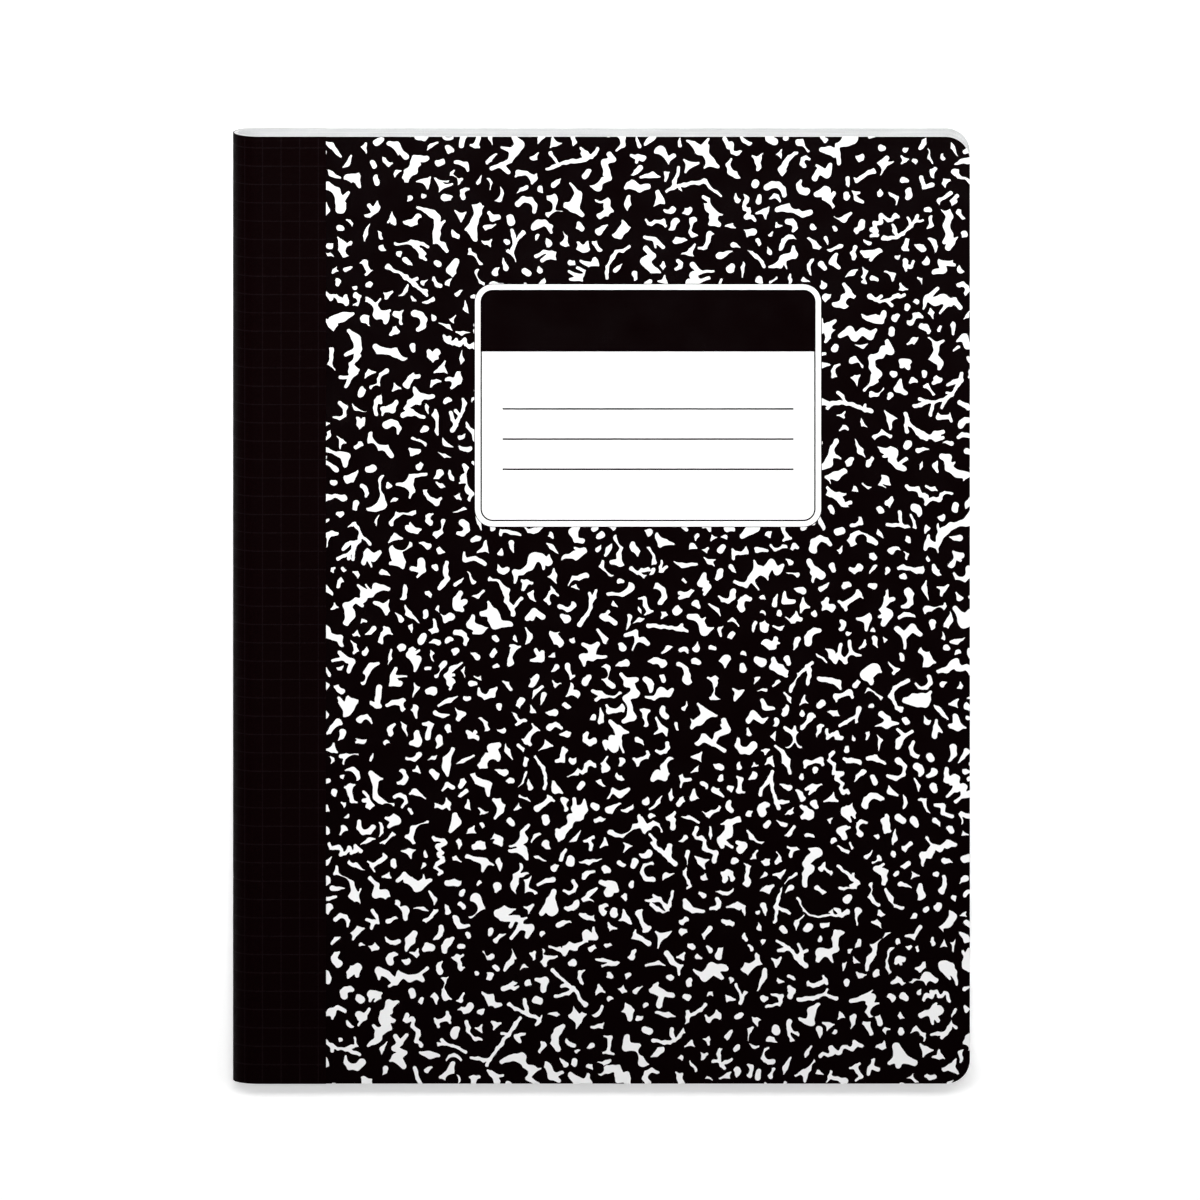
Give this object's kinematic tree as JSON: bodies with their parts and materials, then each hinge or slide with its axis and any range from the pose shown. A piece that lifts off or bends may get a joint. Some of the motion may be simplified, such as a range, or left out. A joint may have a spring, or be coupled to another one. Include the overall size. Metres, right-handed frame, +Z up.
{
  "type": "composition notebook",
  "caption": "Closed sewn notebook with marbled card covers, a rounded spine under black cloth tape and a ruled label panel; both covers open at the spine.",
  "frame": {"origin": "middle of the closed book's footprint, on the surface that its back cover lies on", "axes": "+Z up from the back cover to the front cover, +X from the spine to the fore edge, +Y from tail to head"},
  "size_m": [0.19, 0.248, 0.0135],
  "materials": {
    "pages": "matt writing paper, cut edges",
    "thread": "twisted cotton thread",
    "card": "smooth white-faced card",
    "tape": "black coated cloth tape with a fine embossed grid",
    "ink": "smooth black print, slight sheen"
  },
  "bodies": {
    "book_block": {"page_block": "pages", "sewing_thread": "thread", "cover_spine": "card", "spine_tape": "tape"},
    "front": {"front_cover": "card", "front_tape": "tape", "front_marbling": "ink", "label_print": "ink"},
    "back": {"back_cover": "card", "back_tape": "tape", "back_marbling": "ink"}
  },
  "joints": [
    {"name": "front_hinge", "type": "hinge", "parent": "book_block", "child": "front", "pos_m": [-0.0876, 0, 0.01355], "axis": [0, -1, 0], "range_deg": [0, 180]},
    {"name": "back_hinge", "type": "hinge", "parent": "book_block", "child": "back", "pos_m": [-0.0876, 0, -0.00005], "axis": [0, 1, 0], "range_deg": [0, 180]}
  ]
}
